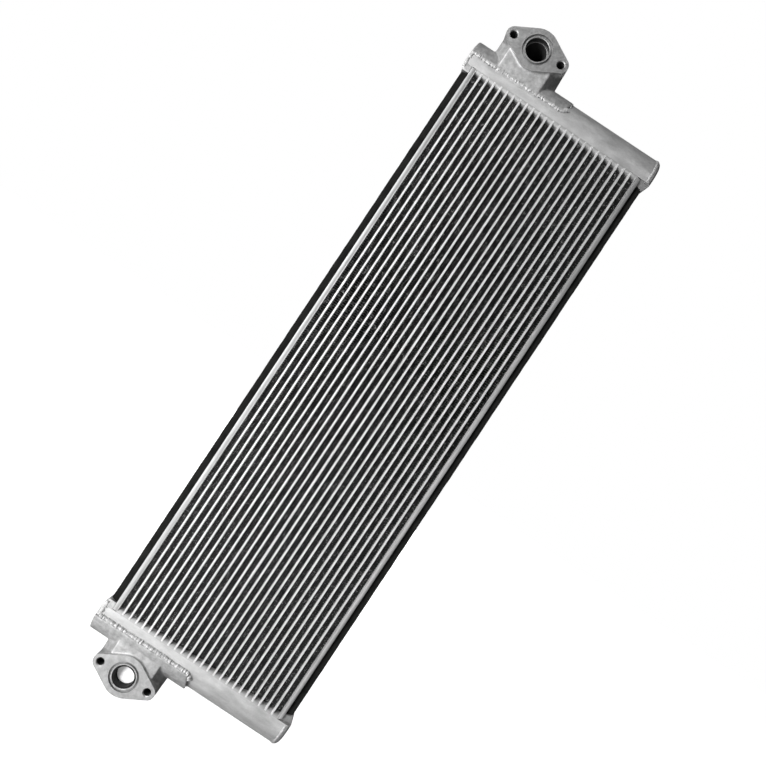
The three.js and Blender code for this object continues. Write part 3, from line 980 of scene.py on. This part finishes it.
def cap_weld(end, seed):
    """Bead round the joint between the tank's shell and its right-hand end plate."""
    arch = d_outline(-0.1 * MM, CORE_TOP + 1.5 * MM, steps=32)
    path = [Vector((TANK_END_X - 0.6 * MM, y, z)) for y, z in arch]
    weld_bead("end_plate_weld", path, 1.8 * MM, seed, end, height=0.35)


# ---------------------------------------------------------------- transport plug

def transport_plug():
    """A black rubber sleeve round a white plastic core whose face lies deep inside it."""
    front = PLUG_LOW.y
    back = PLUG_HIGH.y
    outer = (PLUG_HIGH.x - PLUG_LOW.x) / 2
    inner = PLUG_INNER
    edge = 0.5 * MM
    shoulder = front + PLUG_SHOULDER
    recess = front + PLUG_RECESS
    port_x = PORT_X["lower"]
    sleeve = turned("plug_sleeve", x=port_x, profile=[
        (inner + edge, front),
        (outer - edge, front),
        (outer, front + edge),
        (outer, shoulder - 0.4 * MM),
        (outer - 0.4 * MM, shoulder),
        (PLUG_TAIL, shoulder),
        (PLUG_TAIL, back - 1 * MM),
        (PLUG_TAIL - edge, back),
        (inner, back),
        (inner, front + edge),
    ], closed=True)
    core = turned("plug_core", x=port_x, profile=[
        (inner * PLUG_DIMPLE[0], recess + 0.35 * MM),
        (inner * PLUG_DIMPLE[1], recess),
        (inner - 0.7 * MM, recess),
        (inner - 0.05 * MM, recess + 0.7 * MM),
        (inner - 0.05 * MM, back - 0.3 * MM),
    ])
    for piece, material in ((sleeve, RUBBER), (core, WHITE_PLASTIC)):
        smooth(turned_over(piece, "lower"), 40)
        dress(piece, material, body="port_plug", nodes=["lower_port_plug"])


# ---------------------------------------------------------------- studio

def floor():
    """A white floor at the object's foot, which casts no light on it."""
    half = 6.0  # metres
    z = CAD_BOX[0].z
    corners = [(-half, -half, z), (half, -half, z), (half, half, z), (-half, half, z)]
    plane = make_piece("floor", corners, [(0, 1, 2, 3)])
    material, _, shader, _ = start_material("white_floor")
    shader.inputs["Base Color"].default_value = (0.9, 0.9, 0.9, 1)
    shader.inputs["Roughness"].default_value = 0.9
    shader.inputs["Emission Color"].default_value = (1, 1, 1, 1)
    shader.inputs["Emission Strength"].default_value = 1.0
    plane.data.materials.append(material)
    plane.visible_diffuse = False
    plane.visible_glossy = False
    plane.visible_shadow = False


def world():
    """A white backdrop that lights the object only dimly."""
    made = bpy.data.worlds.new("studio")
    bpy.context.scene.world = made
    made.use_nodes = True
    tree = made.node_tree
    background = tree.nodes["Background"]
    path = tree.nodes.new("ShaderNodeLightPath")
    strength = tree.nodes.new("ShaderNodeMapRange")
    strength.inputs["To Min"].default_value = AMBIENT
    strength.inputs["To Max"].default_value = 1.0
    tree.links.new(path.outputs["Is Camera Ray"], strength.inputs["Value"])
    tree.links.new(strength.outputs["Result"], background.inputs["Strength"])
    background.inputs["Color"].default_value = (1, 1, 1, 1)


def area_light(name, place, target, width, height, power):
    """A soft box at a place, in metres, that faces its target. Its power is in watts."""
    data = bpy.data.lights.new(name, "AREA")
    data.shape = "RECTANGLE"
    data.size = width
    data.size_y = height
    data.energy = power
    light = bpy.data.objects.new(name, data)
    light.location = place
    light.rotation_euler = (Vector(target) - Vector(place)).to_track_quat("-Z", "Y").to_euler()
    bpy.context.scene.collection.objects.link(light)


def camera():
    """The photograph's viewpoint, rolled so that the upright object leans to the right."""
    data = bpy.data.cameras.new("camera")
    data.lens = CAMERA_LENS
    data.sensor_width = CAMERA_SENSOR
    data.clip_start = 0.01
    data.clip_end = 50
    placed = bpy.data.objects.new("camera", data)
    right = Vector((math.cos(CAMERA_ROLL), 0, math.sin(CAMERA_ROLL)))
    up = Vector((-math.sin(CAMERA_ROLL), 0, math.cos(CAMERA_ROLL)))
    back = right.cross(up)
    turn = Matrix((right, up, back)).transposed().to_4x4()
    placed.matrix_world = Matrix.Translation(CAMERA_PLACE) @ turn
    bpy.context.scene.collection.objects.link(placed)
    bpy.context.scene.camera = placed


camera()
world()
floor()
area_light("key_strip", (-1.55, -1.69, 0.0), target=(0, 0, 0), width=0.67, height=3.0, power=90)
area_light("high_left", (-0.8, -0.7, 1.4), target=(0, 0, 0.5), width=0.7, height=0.7, power=2.6)
area_light("low_front", (-0.1, -1.3, -0.75), target=(-0.07, 0, -0.5), width=0.7, height=0.7, power=4)
area_light("from_below", (-0.5, -0.45, -1.5), target=(0, 0, -0.5), width=0.8, height=0.8, power=4.5)
area_light("front_fill", (0.6, -2.1, 0.1), target=(0, 0, 0), width=1.0, height=1.0, power=4)
area_light("back_fill", (0.1, 2.2, 0.3), target=(0, 0, 0), width=1.6, height=1.6, power=25)
bpy.context.scene.view_settings.view_transform = "Standard"

for number in range(1, TUBE_COUNT + 1):
    flat_tube(number)
for number in range(1, FIN_COUNT + 1):
    air_foil(number)
for side, sign in (("left", -1), ("right", 1)):
    side_plate(side, sign)
    foam_strip(side, sign)
for end, seed in (("upper", 100), ("lower", 200)):
    tank_shell(end)
    closing_bars(end)
    end_cap(end)
    saddle_welds(end, seed)
    wall_welds(end, seed + 5)
    cap_weld(end, seed + 10)
    port_block(end)
transport_plug()
